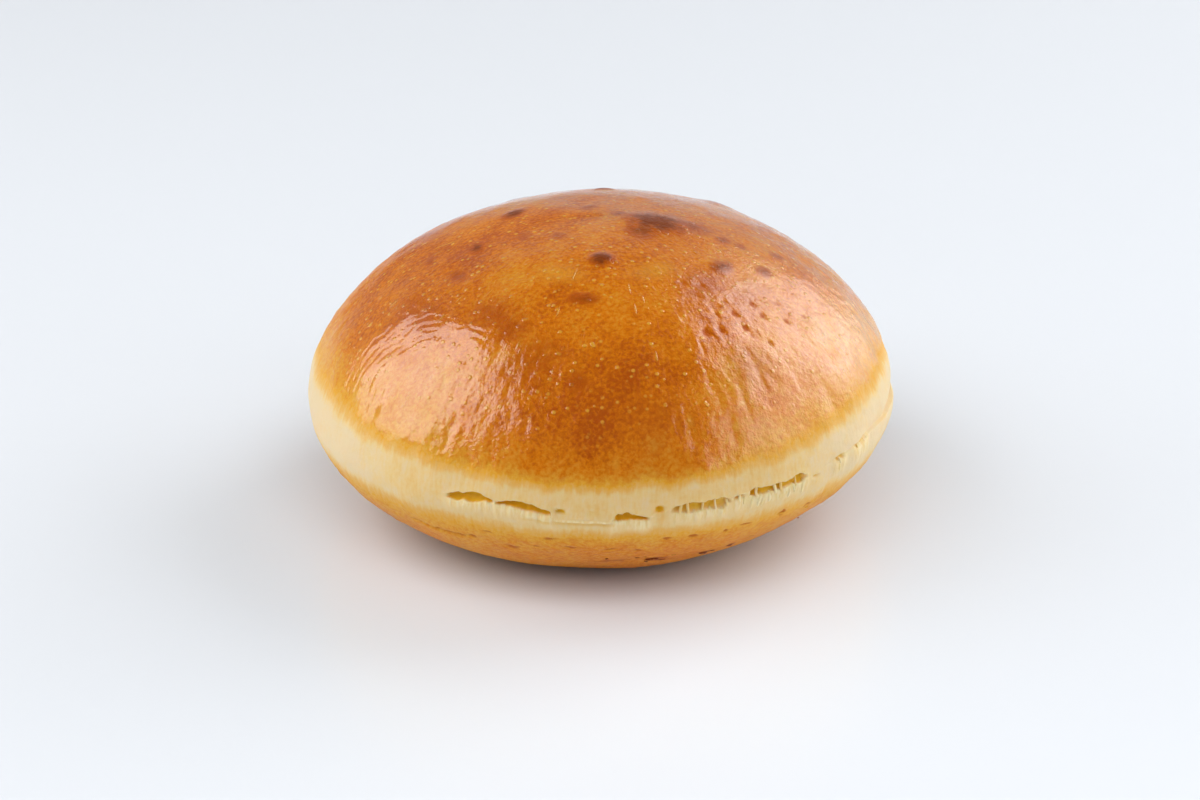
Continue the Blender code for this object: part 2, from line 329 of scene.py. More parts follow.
class CrustSettings(bpy.types.PropertyGroup):
    """Colours and shine of the crust and of the crumb."""

    milk: tint("Milk", "Palest dough, at the sides of the waist", (0.83, 0.65, 0.39))
    cream: tint("Cream", "Dough of the waist that stayed pale", (0.85, 0.61, 0.27))
    golden: tint("Golden", "Lightly browned crust at the edge of the waist", (0.82, 0.40, 0.038))
    amber: tint("Amber", "Well browned crust of the dome", (0.72, 0.20, 0.001))
    brown: tint("Brown", "Deeply browned crust", (0.49, 0.092, 0.001))
    burnt: tint("Burnt", "Dark spots and blisters", (0.20, 0.038, 0.004))
    crumb: tint("Crumb", "Torn crumb", (0.93, 0.76, 0.45))
    # The hollow colour is crumb darkened as painted shade, for deep in the tears and pinholes and under the
    # flap.
    hollow: tint("Hollow", "Moist crumb deep in a tear", (0.80, 0.45, 0.025))
    specular: amount("Specular", "Strength of the egg wash's shine", 0.20, 1.0, subtype="FACTOR")

    def browning(self):
        """Stops of the colour from pale dough to deeply browned crust."""
        tanned = blend(self.cream, self.golden, 0.58)
        pale = ((0.0, self.milk), (0.10, self.cream), (0.22, tanned))
        return (*pale, (0.41, self.golden), (0.76, self.amber), (1.0, self.brown))


class StageSettings(bpy.types.PropertyGroup):
    """Table, lights and camera."""

    table: tint("Table", "Colour of the table", (0.575, 0.60, 0.635))
    softbox: amount("Softboxes", "Brightness of the softboxes, against a white wall's 1", 2.9, 100.0)
    room: amount("Room light", "Brightness of the pale walls round the table", 0.03, 10.0)
    wall: amount("Back wall", "Brightness of the pale wall behind the table", 0.34, 10.0)
    distance: FloatProperty(
        name="Camera distance",
        description="From the camera to the middle of the bun's waist",
        default=0.5086,
        min=0.1,
        unit="LENGTH",
        subtype="DISTANCE",
    )


# ---------------------------------------------------------------- the bun's skin


class Dough:
    """The bun's curves, in mm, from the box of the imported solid."""

    def __init__(self):
        size = [(high - low) / MM for low, high in zip(BUN_LOW, BUN_HIGH)]
        self.radius = ROUND_SHARE * (size[0] + size[1]) / 4
        self.rise = size[2] * DOME_SHARE
        self.level = size[2] * (1 - DOME_SHARE)
        self.drop = self.level * BELLY_SHARE
        azimuth = np.linspace(-pi, pi, 721)
        rim = self.uneven(azimuth, self.radius, 0 * azimuth)
        self.middle = (rim.min(axis=0) + rim.max(axis=0)) / 2
        self.middle[2] = -self.level
        self.dome = superellipse(self.radius, self.rise, DOME_CURVE)
        self.belly = superellipse(self.radius, self.drop, BELLY_CURVE)

    def radius_at(self, height):
        """Radius of the untorn skin at each height over (or, negative, under) the waist."""
        over = (1 - (np.maximum(height, 0) / self.rise) ** DOME_CURVE[1]) ** (1 / DOME_CURVE[0])
        under = (1 - (np.maximum(-height, 0) / self.drop) ** BELLY_CURVE[1]) ** (1 / BELLY_CURVE[0])
        return self.radius * np.where(height > 0, over, under)

    def pressed_flat(self, height):
        """The height, kept on or above the table, with a fillet where the belly meets it."""
        over = height + self.level
        share = np.clip(0.5 + 0.5 * over / BASE_FILLET, 0, 1)
        return over * share + BASE_FILLET * share * (1 - share) - self.level

    def stand(self, azimuth, radius, height):
        """Points of the bun as it stands on the table: uneven and leaning, its plan's middle at 0, 0."""
        return self.uneven(azimuth, radius, height) - self.middle

    @staticmethod
    def uneven(azimuth, radius, height):
        waves = sum(size * np.cos(count * (azimuth - radians(crest))) for count, size, crest in PLAN_WAVES)
        radius = radius * (1 + waves)
        x = radius * np.sin(azimuth) + LEAN * height
        return np.stack([x, -radius * np.cos(azimuth), height], axis=-1)

    def normal_at(self, radius, height):
        """The untorn skin's outward normal as (outward, upward), from the superellipse's slope."""
        over = height > 0
        rise = np.where(over, self.rise, self.drop)
        across, up = (np.where(over, dome, belly) for dome, belly in zip(DOME_CURVE, BELLY_CURVE))
        share = np.clip(radius / self.radius, 1e-6, 1)
        outward = across * share ** (across - 1) / self.radius
        upward = up * (np.abs(height) / rise) ** (up - 1) / rise * np.sign(height)
        length = np.hypot(outward, upward)
        return outward / length, upward / length


def tear_shape(azimuth):
    """Level of the seam, half height and depth of its tear, lap of its upper lip and share of frayed crumb.
    A tear is an arch: its half height is the root of 1 - d^4 over its width, cut ragged by noise, and the
    fraying fades out past its ends."""
    level = round_table(azimuth, SEAM)
    spot = on_sleeve(azimuth)
    ragged = 1 + 0.13 * ripple(spot, 2.2, 24, 11) + 0.08 * ripple(spot, 0.9, 24, 12)
    half, depth, fringe = np.zeros((3, len(azimuth)))
    for centre, half_width, tallest, deepest in TEARS:
        distance = np.abs(apart(azimuth, centre)) / half_width
        arch = np.sqrt(np.maximum(1 - distance**4, 0))
        half = np.maximum(half, tallest * arch)
        depth = np.maximum(depth, deepest * arch**0.7)
        fringe = np.maximum(fringe, 1 - smooth_step(0.75, 1.0 + 1.6 / half_width, distance))
    level = level + 0.07 * ripple(spot, 3.1, 24, 13) * smooth_step(0, 0.3, half)
    return level, half * ragged, depth, round_table(azimuth, LAP), fringe


def flap_over(azimuth, height):
    """How far the flap's skin stands out, in mm: its thickness right over its edge, thinning out upwards,
    with its pale torn rim and the shaded line under it as shares."""
    edge = round_table(azimuth, [(at, level) for at, level, _ in FLAP])
    thick = round_table(azimuth, [(at, thick) for at, _, thick in FLAP])
    share = thick / max(thick for _, _, thick in FLAP)
    over = height - edge - 0.08 * ripple(on_sleeve(azimuth), 3.0, 24, 14)
    stands = thick * smooth_step(-0.10, 0.12, over) * np.exp(-np.maximum(over, 0) / 1.5)
    return stands, share * bell((over - 0.25) / 0.5), share * bell((over + 0.35) / 0.42)


def crumb_swell(over, shut, fringe):
    """How far the frayed crumb bulges under the seam, in mm: a bell below the tear's lower lip."""
    return fringe * 0.20 * bell((over + shut + 1.0) / 2.6)


# Kinds of ring, from the top down.
DOME, UPPER, TEAR, LOWER, BELLY, BASE = range(6)
UPPER_TOP = 8.0  # mm over the waist, where the waist's fine rings begin
LOWER_FOOT = -9.4  # mm, where they end
SHUT_BAND = 0.45  # half height of the tear's rings where the seam holds shut
RING_GAP = 0.60  # mm between the dome's rings, the first of which lies TOP_GAP from the top
TOP_GAP = 0.55
HALVINGS = ((6.5, 8), (13, 4), (26, 2))  # within each radius, in mm: so many times fewer columns
UPPER_RINGS, TEAR_RINGS, LOWER_RINGS, BELLY_RINGS = 24, 19, 31, 28
BASE_RINGS = (0.93, 0.84, 0.74, 0.64, 0.54, 0.44, 0.34, 0.24, 0.14, 0.06)  # as shares of its radius


def ring_plan(dough, columns):
    """(columns, kind, value) of each ring from the top down. Columns halve towards the top and the base."""
    radius, height, arc = dough.dome
    foot = np.interp(UPPER_TOP, height, arc)
    plan = []
    for along in arc[-1] - np.arange(TOP_GAP, arc[-1] - foot, RING_GAP):
        at = np.interp(along, arc, radius)
        fewer = next((times for reach, times in HALVINGS if at < reach), 1)
        plan.append((columns // fewer, DOME, along))
    plan += [(columns, UPPER, share) for share in np.linspace(1, 0, UPPER_RINGS)]
    plan += [(columns, TEAR, share) for share in np.linspace(1, -1, TEAR_RINGS + 2)[1:-1]]
    plan += [(columns, LOWER, share) for share in np.linspace(0, 1, LOWER_RINGS)]
    radius, height, arc = dough.belly
    start, flat = np.interp([-LOWER_FOOT, dough.level + BASE_FILLET], height, arc)
    plan += [(columns // 2, BELLY, along) for along in np.linspace(start, flat, BELLY_RINGS + 1)[1:]]
    return plan + [(columns // (4 if share > 0.5 else 8), BASE, share) for share in BASE_RINGS]


def ring_faces(plan):
    """Quads and triangles between neighbouring rings. Where the columns halve or double, each step of the
    coarse ring takes three triangles. The last two vertices are the top and the base's middle."""
    counts = [count for count, _, _ in plan]
    starts = np.concatenate([[0], np.cumsum(counts)])
    quads, triangles = [], []
    for n, m, upper, lower in zip(counts, counts[1:], starts, starts[1:]):
        i = np.arange(min(n, m))
        j = (i + 1) % min(n, m)
        if n == m:
            quads.append(np.stack([upper + i, lower + i, lower + j, upper + j], axis=1))
            continue
        coarse, fine = (upper, lower) if n < m else (lower, upper)
        left, middle, right = fine + 2 * i, fine + 2 * i + 1, fine + 2 * j
        first, second = coarse + i, coarse + j
        for corners in ((first, left, middle), (first, middle, second), (second, middle, right)):
            triangles.append(np.stack(corners if n < m else corners[::-1], axis=1))
    for pole, start, count, turn in ((0, 0, counts[0], 1), (1, starts[-2], counts[-1], -1)):
        side = np.arange(count)
        corners = [0 * side + starts[-1] + pole, start + side, start + (side + 1) % count]
        triangles.append(np.stack(corners[::turn], axis=1))
    return np.concatenate(quads), np.concatenate(triangles)


def on_skin(dough, azimuth, height):
    """The untorn skin's point, in mm from the waist's middle, at an azimuth in degrees and a height."""
    radius = dough.radius_at(height)
    return np.array([radius * np.sin(radians(azimuth)), -radius * np.cos(radians(azimuth)), height])


class Skin:
    """The untorn skin's points, in mm from the waist's middle, with bells and noise over them."""

    def __init__(self, azimuth, radius, height):
        self.azimuth, self.height = azimuth, height
        self.sleeve = on_sleeve(azimuth, height)
        x = radius * np.sin(azimuth) + LEAN * height
        self.place = np.stack([x, -radius * np.cos(azimuth), height], axis=1)

    def facing(self, azimuth, half_width):
        """A bell over the azimuth, in degrees."""
        return bell(apart(self.azimuth, azimuth) / half_width)

    def level(self, height, half_height):
        """A bell over the height."""
        return bell((self.height - height) / half_height)

    def above(self, low, high):
        """A smooth step over the height."""
        return smooth_step(low, high, self.height)

    def disc(self, azimuth, distance, along, across):
        """A bell over a spot seen from above, with its half sizes along its circle and across it."""
        sine, cosine = np.sin(radians(azimuth)), np.cos(radians(azimuth))
        x = self.place[:, 0] - distance * sine
        y = self.place[:, 1] + distance * cosine
        return bell(np.hypot((x * cosine + y * sine) / along, (x * sine - y * cosine) / across))

    def spot(self, azimuth, height, half_width, half_height):
        """A bell over a spot of the sides."""
        across = np.radians(apart(self.azimuth, azimuth)) * SPOT_SLEEVE
        return bell(np.hypot(across / half_width, (self.height - height) / half_height))

    def noise(self, wavelength, count, seed, height=1):
        return ripple(self.place * [1, 1, height], wavelength, count, seed)

    def upright(self, height, wavelength, count, seed):
        """Noise stretched upright, by one over its height."""
        return ripple(self.sleeve * [1, 1, height], wavelength, count, seed)


def wrinkled(dough, place):
    """Distance from the middle of the wrinkles' rings, in mm, and how strong the wrinkles are."""
    rings, drawn = np.zeros((2, len(place)))
    for middle, spot, reach, strength in WRINKLES:
        near = strength * bell(np.linalg.norm(place - on_skin(dough, *spot), axis=1) / reach)
        rings = np.where(near > 0, np.linalg.norm(place - on_skin(dough, *middle), axis=1), rings)
        drawn = np.maximum(drawn, near)
    return rings, drawn


def dome_relief(skin, share):
    """Height of the crust's lumps, folds, creases, dents and blisters over the smooth skin, in mm, with the
    marks of its dark spots, some painted shade, and of its pores and cracks, where painted shade lies."""
    calm = 1 - 0.6 * skin.above(22, 29)
    raised = share * calm * (0.12 * skin.noise(21, 24, 31) + 0.06 * skin.noise(9, 32, 32))
    # The finer waves die out towards the top, and on the left flank, whose skin is drawn smooth.
    lively = share * (1 - 0.75 * skin.above(23, 30)) * skin.above(1.5, 6) * (1 - 0.7 * skin.facing(-72, 34))
    raised += lively * 0.022 * skin.noise(3.4, 64, 33)
    # On the right flank they are round pebbles, elsewhere upright folds.
    pebbly = skin.facing(52, 50)
    folded = lively * (1 - 0.75 * pebbly) * (1 - 0.2 * skin.facing(-22, 20))
    raised += folded * 0.030 * skin.upright(0.55, 4.2, 48, 34) * skin.level(11, 14)
    raised += folded * 0.030 * skin.upright(0.75, 2.0, 64, 36) * skin.level(13, 15)
    raised += lively * (0.010 + 0.012 * pebbly) * skin.noise(1.6, 80, 35)
    raised += 0.026 * share * skin.above(-2.5, -5.5) * skin.noise(2.2, 80, 37, 1.6)
    for at, half_width, middle, half_height, deep in CREASES:
        raised -= deep * skin.facing(at, half_width) * skin.level(middle, half_height)
    for *spot, deep in (*DENTS, *nicks(share)):
        raised -= deep * skin.spot(*spot)
    spots, pores, cracks = np.zeros((3, len(raised)))
    for *spot, rise, dark in BLISTERS:
        bump = skin.disc(*spot) * (skin.height > 0)
        raised += rise * bump
        spots = np.maximum(spots, dark * bump)
    for *spot, dark in SCORCHES_AND_SHADOW:
        spots = np.maximum(spots, dark * skin.spot(*spot))
    for at, distance, size in PORES:
        deep = min(1, size / DEEP_PORE) * (skin.height > 5)
        pores = np.maximum(pores, deep * skin.disc(at, distance, size, size))
    raised -= 0.30 * pores
    ragged = 0.14 * ripple(skin.sleeve, 1.9, 32, 39)
    for at, up, half_width, half_height, deep in CRACKS:
        gap = skin.spot(at, up + ragged, half_width * 1.2, half_height * 1.6)
        cracks = np.maximum(cracks, gap)
        raised -= deep * gap
    return raised, spots, pores, cracks


def nicks(share, count=210):
    """Small upright dents scattered over the flanks of the dome, in the same form as the dents' table. The
    first third lie on the front's left, where the wash is thickest."""
    chance = np.random.default_rng(51)
    azimuth = chance.uniform(-180, 180, count)
    azimuth[: count // 3] = chance.uniform(-36, 4, count // 3)
    height = chance.uniform(7.5, 25, count)
    sizes = np.stack([chance.uniform(0.45, 0.75, count), chance.uniform(0.7, 1.9, count)])
    deep = chance.uniform(0.04, 0.11, (1, count)) * share
    return np.concatenate([azimuth[None], height[None], sizes, deep]).T


def skin_points(dough, plan, settings):
    """Every ring's points and marks: the untorn skin, opened along the seam and raised by its relief."""
    azimuth = np.concatenate([2 * pi * np.arange(count) / count for count, _, _ in plan])
    azimuth = azimuth - 0.40 * np.sin(azimuth)  # columns stand closer together at the front
    kind = np.concatenate([np.full(count, code) for count, code, _ in plan])
    value = np.concatenate([np.full(count, float(share)) for count, _, share in plan])

    level, half, depth, lap, fringe = tear_shape(azimuth)
    shut = np.maximum(half, SHUT_BAND)
    turn = (1 - value) * pi / 2
    open_share = smooth_step(0.02, 0.30, half)
    flush = level + SHUT_BAND * value
    dome_radius, dome_height, dome_arc = dough.dome
    belly_radius, belly_height, belly_arc = dough.belly
    height = np.select(
        [kind == DOME, kind == UPPER, kind == TEAR, kind == LOWER, kind == BELLY],
        [
            np.interp(value, dome_arc, dome_height),
            level + shut + (UPPER_TOP - level - shut) * value**1.15,
            flush + (level + half * np.cos(turn) - flush) * open_share,
            level - shut + (LOWER_FOOT - level + shut) * value**1.05,
            dough.pressed_flat(-np.interp(value, belly_arc, belly_height)),
        ],
        -dough.level,
    )
    foot = np.interp(dough.level + BASE_FILLET, belly_height, belly_radius)
    radius = np.select(
        [kind == DOME, kind == BELLY, kind == BASE],
        [np.interp(value, dome_arc, dome_radius), np.interp(value, belly_arc, belly_radius), value * foot],
        dough.radius_at(height),
    )
    outward, upward = dough.normal_at(radius, height)
    torn = kind == TEAR
    torn_share = np.where(torn, open_share, 0)
    whole = 1 - torn_share
    hollow = torn_share * depth * settings.tear_depth * np.maximum(np.sin(turn), 0) ** 0.75

    over = height - level
    skin = Skin(azimuth, radius, height)
    # The upper lip laps over the lower one, and thins out upwards; a drawn-back skin does the opposite.
    lip = np.where(over > 0, np.exp(-np.maximum(over - shut, 0) / 2.2), 0)
    lip = lap * np.where(torn, smooth_step(-0.2, 0.6, value), lip)
    # The torn crumb under the seam bulges a little, in upright ridges.
    ridges = 0.065 * skin.upright(0.15, 1.6, 64, 21) + 0.045 * skin.upright(0.15, 0.95, 64, 22)
    swell = crumb_swell(over, shut, fringe) + fringe * bell((over + shut + 0.5) / 2.8) * ridges
    rolled = fringe * 0.08 * bell((over - shut - 0.30) / 0.8)

    pinholes, pale = np.zeros((2, len(height)))
    for *spot, deep in PINHOLES:
        pinholes = np.maximum(pinholes, deep * whole * skin.spot(*spot))
    # Pale flecks, and painted highlights on the front's low creases.
    for at, distance, half_width, half_height in PALE_FLECKS_AND_HIGHLIGHTS:
        foreshortened = half_height * (0.35 if distance > 40 else 1.0)
        pale = np.maximum(pale, skin.disc(at, distance, half_width, foreshortened) * (height > 3))
    relief, spots, pores, cracks = dome_relief(skin, settings.relief)
    rings, drawn = wrinkled(dough, skin.place)
    flap, rim, shade = flap_over(azimuth, height)
    raised = np.where(kind == BASE, 0, (relief + rolled - pinholes) * whole + lip)
    raised += 0.45 * skin.facing(-34, 40) * skin.level(-14, 12)
    raised = raised * skin.above(-dough.level, -dough.level + 4) + swell + flap * whole
    lifted = np.maximum(height + raised * upward * whole, -dough.level)
    points = dough.stand(azimuth, radius + raised * outward - hollow, lifted)
    poles = dough.stand(np.zeros(2), np.zeros(2), np.array([dough.rise, -dough.level]))

    bake = bake_of(skin)
    frayed = fringe * smooth_step(-3.8, -1.0, over) * smooth_step(shut + 0.1, shut - 0.1, over)
    # The hollow mark: painted shade deep in tears and pinholes, painted shadow under the flap's edge.
    holes = smooth_step(0.1, 0.7, hollow) + smooth_step(0.08, 0.45, pinholes)
    marks = {
        "bake": bake,
        "gloss": gloss_of(skin, bake),
        "torn": np.clip(np.maximum(frayed, rim * whole), 0, 1),
        "hollow": np.clip(holes + 0.4 * shade, 0, 1),
        "spot": spots,
        "pore": pores,
        "crack": cracks,
        "pale": pale,
        "phase": 2 * pi * rings / WRINKLE_SPACING,
        "drawn": drawn,
        "pulled": skin.facing(-24, 22) * skin.level(14, 13),
    }
    marks = {name: np.concatenate([mark, mark[:1], mark[-1:]]) for name, mark in marks.items()}
    marks["sleeve"] = np.concatenate([skin.sleeve, [[0, 0, dough.rise], [0, 0, -dough.level]]])
    return np.concatenate([points, poles]), marks


def bake_of(skin):
    """How far the crust is browned, from 0 on the pale waist to 1 where it is brown. It rises with the
    distance from the browning's edge; the flanks stay golden, the front and the top turn amber."""
    azimuth, height = skin.azimuth, skin.height
    streaks = 0.20 * skin.upright(0.5, 5, 48, 41) + 0.10 * skin.upright(0.5, 1.6, 64, 42)
    over = height - round_table(azimuth, BROWN_EDGE) + streaks
    top = smooth_step(17, 28, height + 8 * skin.facing(-80, 62))
    crown = 0.77 + 0.11 * skin.facing(-80, 55)
    plateau = (0.93 - 0.31 * round_table(azimuth, GOLDEN_FLANKS)) * (1 - top) + crown * top
    dome = 0.80 * smooth_step(-1.8, 3.9, over) + 0.20 * smooth_step(3, 10, over)
    under = -height - 2.9 + 0.9 * streaks
    deeper = 0.50 + 0.13 * skin.facing(6, 42)
    belly = deeper * smooth_step(-2.2, 4.2, under) + 0.10 * smooth_step(2.5, 9, under)
    least = 0.10 * (1 - smooth_step(36, 56, np.abs(apart(azimuth, 0))))
    bake = np.maximum(np.where(height > 0, plateau * dome, belly), least)
    mottle = 0.030 * skin.noise(15, 32, 43) + 0.022 * skin.noise(6, 48, 44)
    return np.clip(bake + mottle * smooth_step(0.3, 0.8, bake), 0, 1)


def gloss_of(skin, bake):
    """How much egg wash lies on the crust: full on the browned dome but thin on its left side, and little
    on the pale waist and the belly."""
    wash = smooth_step(0.30, 0.62, bake) * skin.above(1, 4) * (1 - 0.82 * skin.facing(-92, 46))
    dry = 0.06 + 0.06 * smooth_step(0.3, 0.5, bake)
    return wash * np.clip(0.92 + 0.10 * skin.noise(5, 48, 45), 0, 1) + dry * (1 - wash)


def mesh_of(name, points, quads, triangles, marks):
    """A smooth-shaded mesh from points in mm, with an attribute for each mark, of numbers or of vectors."""
    mesh = bpy.data.meshes.new(name)
    mesh.vertices.add(len(points))
    mesh.vertices.foreach_set("co", (points * MM).astype(np.float32).ravel())
    corners = np.concatenate([quads.ravel(), triangles.ravel()])
    mesh.loops.add(len(corners))
    mesh.loops.foreach_set("vertex_index", corners.astype(np.int32))
    sizes = np.concatenate([np.full(len(quads), 4), np.full(len(triangles), 3)])
    mesh.polygons.add(len(sizes))
    mesh.polygons.foreach_set("loop_start", np.concatenate([[0], np.cumsum(sizes)[:-1]]).astype(np.int32))
    mesh.update(calc_edges=True)
    mesh.validate()
    mesh.shade_smooth()
    for mark, numbers in marks.items():
        kind, key = ("FLOAT", "value") if numbers.ndim == 1 else ("FLOAT_VECTOR", "vector")
        layer = mesh.attributes.new(mark, kind, "POINT")
        layer.data.foreach_set(key, numbers.astype(np.float32).ravel())
    return mesh


def linked(name, data):
    """A new object in the scene."""
    made = bpy.data.objects.new(name, data)
    bpy.context.scene.collection.objects.link(made)
    return made


def add_piece(name, mesh, material):
    """The mesh as a piece that rides on the bun's body, with the given material."""
    piece = linked(name, mesh)
    mesh.materials.append(material)
    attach(piece, "root")
    return piece


# ---------------------------------------------------------------- strands and crumbs


STRAND_STEPS, STRAND_SIDES = 10, 8
CRUMB_STEPS, CRUMB_SIDES = 7, 6


def tubes(paths, radii, sides):
    """Closed tubes with pointed ends, as (points, quads, triangles). Each follows a row of the paths, an
    array of tubes x steps x 3. Round every step but the first and last lies a ring, square to the path: the
    step plus its radius times cos(turn) across and sin(turn) over."""
    count, steps, _ = paths.shape
    along = np.gradient(paths, axis=1)
    along /= np.linalg.norm(along, axis=2, keepdims=True)
    across = np.cross(along, paths * [1, 1, 0])
    across /= np.linalg.norm(across, axis=2, keepdims=True)
    over = np.cross(along, across)
    turn = 2 * pi * np.arange(sides) / sides
    spokes = np.cos(turn)[:, None] * across[:, 1:-1, None] + np.sin(turn)[:, None] * over[:, 1:-1, None]
    rings = paths[:, 1:-1, None] + radii[:, 1:-1, None, None] * spokes
    points = np.concatenate([rings.reshape(count, -1, 3), paths[:, [0, -1]]], axis=1)

    first = points.shape[1] * np.arange(count)[:, None, None]
    ring = sides * np.arange(steps - 3)[:, None]
    side = np.arange(sides)
    following = (side + 1) % sides
    corners = [ring + side, ring + following, ring + sides + following, ring + sides + side]
    quads = np.stack([first + corner for corner in corners], axis=-1).reshape(-1, 4)
    last = sides * (steps - 3)
    tip = sides * (steps - 2)
    start = np.stack([0 * side + tip, following, side], axis=-1)
    end = np.stack([0 * side + tip + 1, last + side, last + following], axis=-1)
    triangles = (first + np.concatenate([start, end])).reshape(-1, 3)
    return points.reshape(-1, 3), quads, triangles


def add_tubes(name, paths, radii, toast, sides, material):
    """A piece made of tubes, each with its own share of toasting."""
    points, quads, triangles = tubes(paths, radii, sides)
    marks = {"toast": np.repeat(toast, len(points) // len(toast))}
    add_piece(name, mesh_of(name, points, quads, triangles, marks), material)


def strand_paths(dough, thickness):
    """Paths, radii and tints of the torn crumb's strands. A finger starts in its tear, comes over the lower
    lip and lies down it, sunk in by two thirds of its radius; a web crosses the tear from the upper lip.
    Their heights fall evenly, and over the tear they stand in by a share of its depth. The radius swells
    and shrinks as the root of sin(pi t), and a web's ends are wider than its middle."""
    chance = np.random.default_rng(61)
    t = np.linspace(0, 1, STRAND_STEPS)
    azimuth, web = [], []
    for first, last, fingers, webs in FRAYED:
        for count, crossing in ((fingers, False), (webs, True)):
            spread = np.arange(count) + chance.uniform(0.15, 0.85, count)
            azimuth.append(first + (last - first) * spread / max(count, 1))
            web.append(np.full(count, crossing))
    azimuth, web = np.radians(np.concatenate(azimuth)), np.concatenate(web)
    count = len(azimuth)

    def either(webs, fingers):
        """A random number for each strand, from the webs' span or from the fingers'."""
        return np.where(web, chance.uniform(*webs, count), chance.uniform(*fingers, count))

    _, half, depth, _, fringe = tear_shape(azimuth)
    start = half * np.where(web, 0.97, chance.uniform(-1.0, -0.55, count))
    inward = depth * either((0.15, 0.5), (0.20, 0.45))
    end = -half - either((0.2, 0.9), (1.5, 2.9))
    over = start[:, None] + (end - start)[:, None] * t
    share = np.clip((over + half[:, None]) / (start + half)[:, None], 0, 1)
    widest = thickness * either((0.13, 0.30), (0.32, 0.50))
    shut = np.maximum(half, SHUT_BAND)[:, None]
    sunk = np.where(web, 0.0, 0.66 * widest)[:, None]
    stand_out = crumb_swell(over, shut, fringe[:, None]) * (1 - share) - inward[:, None] * share**0.8 - sunk
    sway = chance.normal(0, 0.006, (count, 1)) * t + chance.normal(0, 0.003, (count, 1)) * np.sin(pi * t)
    azimuth = azimuth[:, None] + sway
    height = tear_shape(azimuth.ravel())[0].reshape(azimuth.shape) + over
    wider = np.where(web[:, None], 1 + 0.9 * (2 * t - 1) ** 2, 1)
    radii = widest[:, None] * wider * np.sqrt(np.sin(pi * t))
    return dough.stand(azimuth, dough.radius_at(height) + stand_out, height), radii, chance.random(count)


def crumb_paths(dough, loose):
    """Paths, radii and toasting of the crumbs on the belly: short fat tubes that lie along it."""
    chance = np.random.default_rng(71)
    spans = ((-180, 180), (-13.5, -9.5), (0.5, 1.3), (0.15, 0.3), (0.3, 1.0))
    scattered = np.stack([chance.uniform(*span, loose) for span in spans], axis=1)
    azimuth, height, length, thick, toast = np.concatenate([np.array(CLINGING), scattered]).T[..., None]
    t = np.linspace(0, 1, CRUMB_STEPS)
    count = len(azimuth)
    slope, droop = chance.normal(0, 0.25, (count, 1)), chance.normal(0, 0.12, (count, 1))
    height = height + slope * (t - 0.5) + droop * t**2
    radius = dough.radius_at(height) + 0.10
    azimuth = np.radians(azimuth) + length / radius * (t - 0.5)
    radii = thick / 2 * np.sqrt(np.sin(pi * t)) * chance.uniform(0.6, 1.3, (count, CRUMB_STEPS))
    return dough.stand(azimuth, radius, height), radii, toast[:, 0]


# ---------------------------------------------------------------- materials


